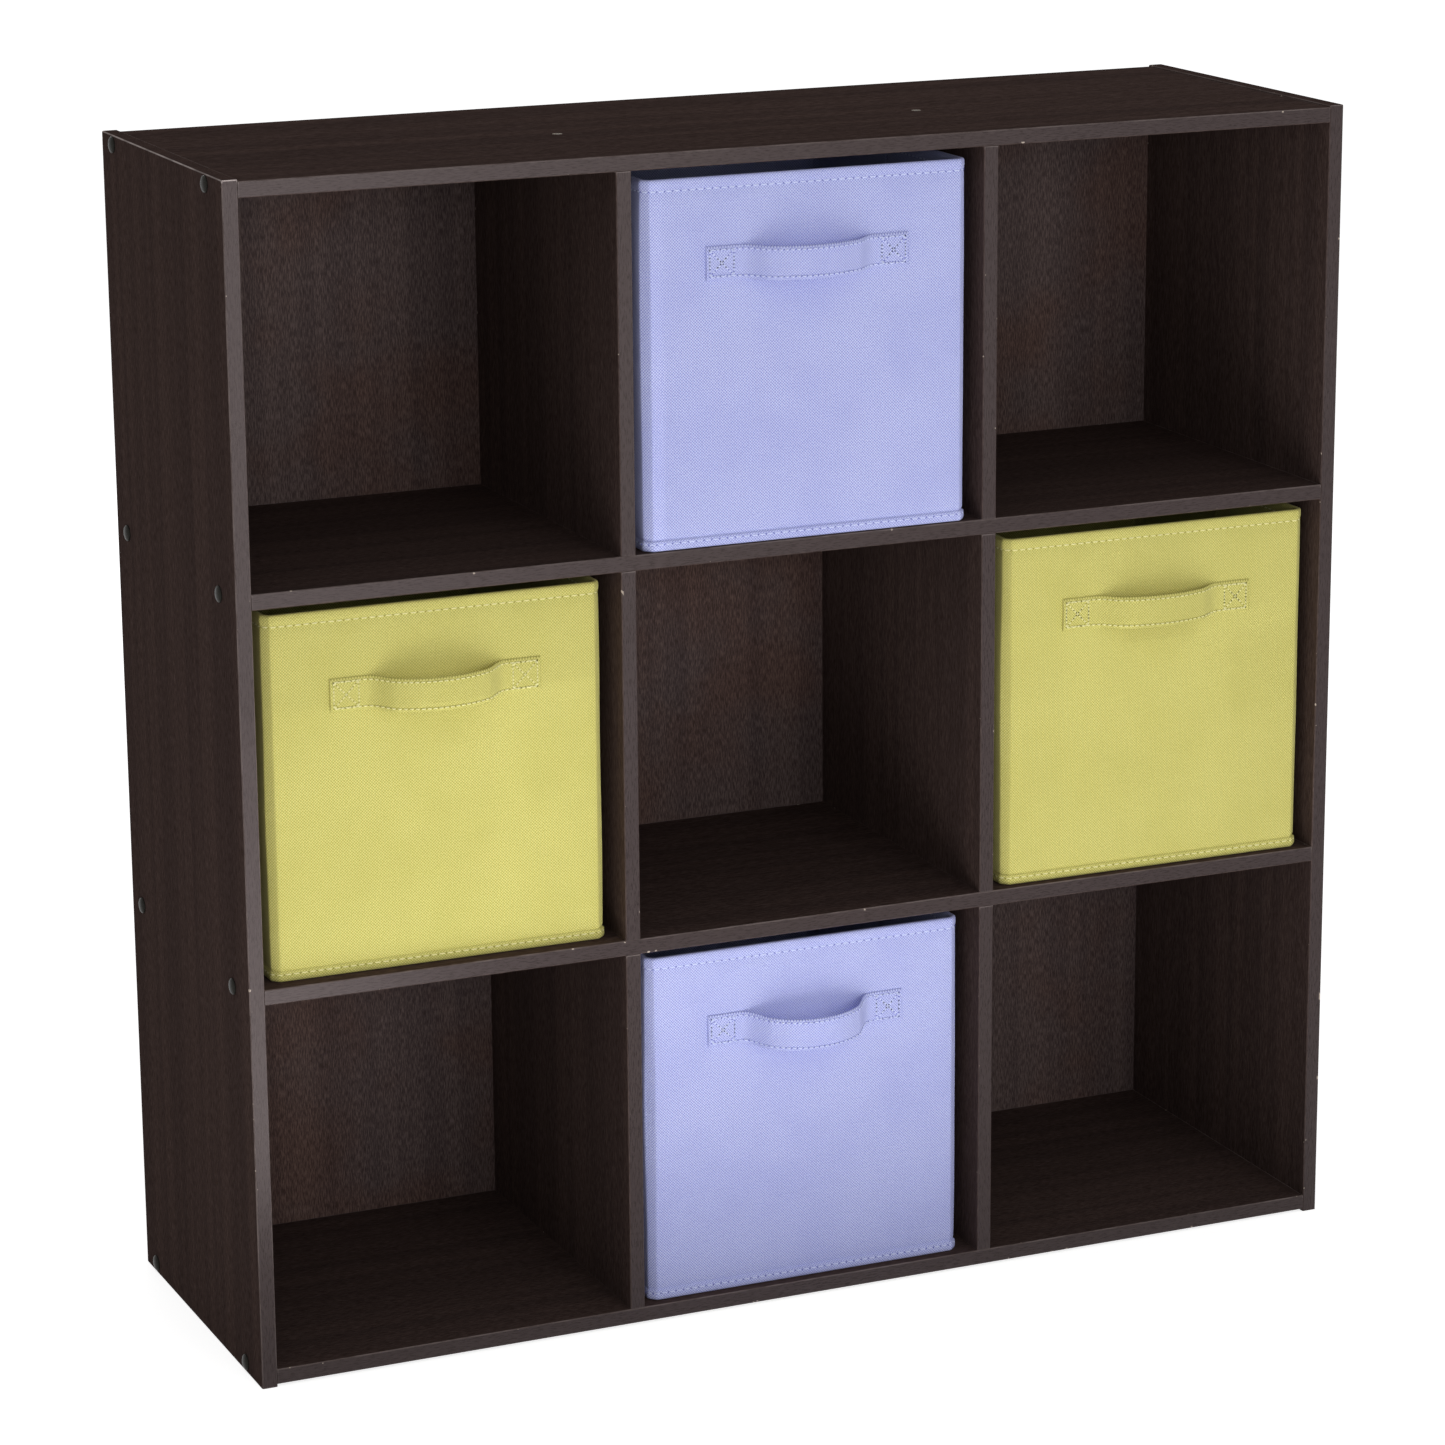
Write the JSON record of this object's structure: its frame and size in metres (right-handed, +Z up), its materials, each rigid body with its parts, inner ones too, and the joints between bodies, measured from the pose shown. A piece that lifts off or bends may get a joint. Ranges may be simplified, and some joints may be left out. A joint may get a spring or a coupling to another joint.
{
  "type": "cube storage unit",
  "caption": "Open-fronted cube storage unit in dark wood-grain board, with soft fabric drawers that slide out by a sewn strap handle.",
  "frame": {"origin": "on the floor, under the middle of the whole unit's box, handles included", "axes": "+Z up, +X to the right seen from the front, front facing -Y"},
  "size_m": [0.92, 0.32, 0.914],
  "materials": {
    "espresso_laminate": "dark espresso wood-grain laminate, satin",
    "back_hardboard": "thin hardboard printed with a dark upright grain, matt",
    "screw_steel": "zinc-plated steel",
    "cap_plastic": "dark brown moulded plastic",
    "dowel_wood": "plain beech",
    "nail_steel": "bright steel",
    "blue_cloth": "pale blue bonded cloth with a fine diagonal cross-hatch",
    "green_cloth": "yellow-green bonded cloth with a fine diagonal cross-hatch",
    "stiffening_board": "grey-brown pressed board"
  },
  "bodies": {
    "carcass": {"back_board_nails": "nail_steel", "bottom_divider_screws": "screw_steel", "bottom_left_divider": "espresso_laminate", "bottom_panel": "espresso_laminate", "bottom_right_divider": "espresso_laminate", "divider_dowels": "dowel_wood", "left_back_board": "back_hardboard", "left_screw_caps": "cap_plastic", "left_side_panel": "espresso_laminate", "left_side_screws": "screw_steel", "lower_shelf": "espresso_laminate", "middle_back_board": "back_hardboard", "middle_left_divider": "espresso_laminate", "middle_right_divider": "espresso_laminate", "right_back_board": "back_hardboard", "right_screw_caps": "cap_plastic", "right_side_panel": "espresso_laminate", "right_side_screws": "screw_steel", "top_divider_screws": "screw_steel", "top_left_divider": "espresso_laminate", "top_panel": "espresso_laminate", "top_right_divider": "espresso_laminate", "upper_shelf": "espresso_laminate"},
    "top_drawer": {"top_drawer_cover": "blue_cloth", "top_drawer_lining": "blue_cloth", "top_drawer_base_cloth": "blue_cloth", "top_drawer_side_boards": "stiffening_board", "top_drawer_handle": "blue_cloth"},
    "top_base_board": {"top_drawer_base_board": "stiffening_board"},
    "left_drawer": {"left_drawer_cover": "green_cloth", "left_drawer_lining": "green_cloth", "left_drawer_base_cloth": "green_cloth", "left_drawer_side_boards": "stiffening_board", "left_drawer_handle": "green_cloth"},
    "left_base_board": {"left_drawer_base_board": "stiffening_board"},
    "right_drawer": {"right_drawer_cover": "green_cloth", "right_drawer_lining": "green_cloth", "right_drawer_base_cloth": "green_cloth", "right_drawer_side_boards": "stiffening_board", "right_drawer_handle": "green_cloth"},
    "right_base_board": {"right_drawer_base_board": "stiffening_board"},
    "bottom_drawer": {"bottom_drawer_cover": "blue_cloth", "bottom_drawer_lining": "blue_cloth", "bottom_drawer_base_cloth": "blue_cloth", "bottom_drawer_side_boards": "stiffening_board", "bottom_drawer_handle": "blue_cloth"},
    "bottom_base_board": {"bottom_drawer_base_board": "stiffening_board"}
  },
  "joints": [
    {"name": "top_drawer_slide", "type": "slide", "parent": "carcass", "child": "top_drawer", "axis": [0, -1, 0], "range_m": [-0.023, 0.29]},
    {"name": "top_base_board_lift", "type": "slide", "parent": "top_drawer", "child": "top_base_board", "axis": [0, 0, 1], "range_m": [0, 0.27]},
    {"name": "left_drawer_slide", "type": "slide", "parent": "carcass", "child": "left_drawer", "axis": [0, -1, 0], "range_m": [-0.012, 0.29]},
    {"name": "left_base_board_lift", "type": "slide", "parent": "left_drawer", "child": "left_base_board", "axis": [0, 0, 1], "range_m": [0, 0.27]},
    {"name": "right_drawer_slide", "type": "slide", "parent": "carcass", "child": "right_drawer", "axis": [0, -1, 0], "range_m": [-0.0176, 0.29]},
    {"name": "right_base_board_lift", "type": "slide", "parent": "right_drawer", "child": "right_base_board", "axis": [0, 0, 1], "range_m": [0, 0.27]},
    {"name": "bottom_drawer_slide", "type": "slide", "parent": "carcass", "child": "bottom_drawer", "axis": [0, -1, 0], "range_m": [-0.0166, 0.29]},
    {"name": "bottom_base_board_lift", "type": "slide", "parent": "bottom_drawer", "child": "bottom_base_board", "axis": [0, 0, 1], "range_m": [0, 0.27]}
  ]
}
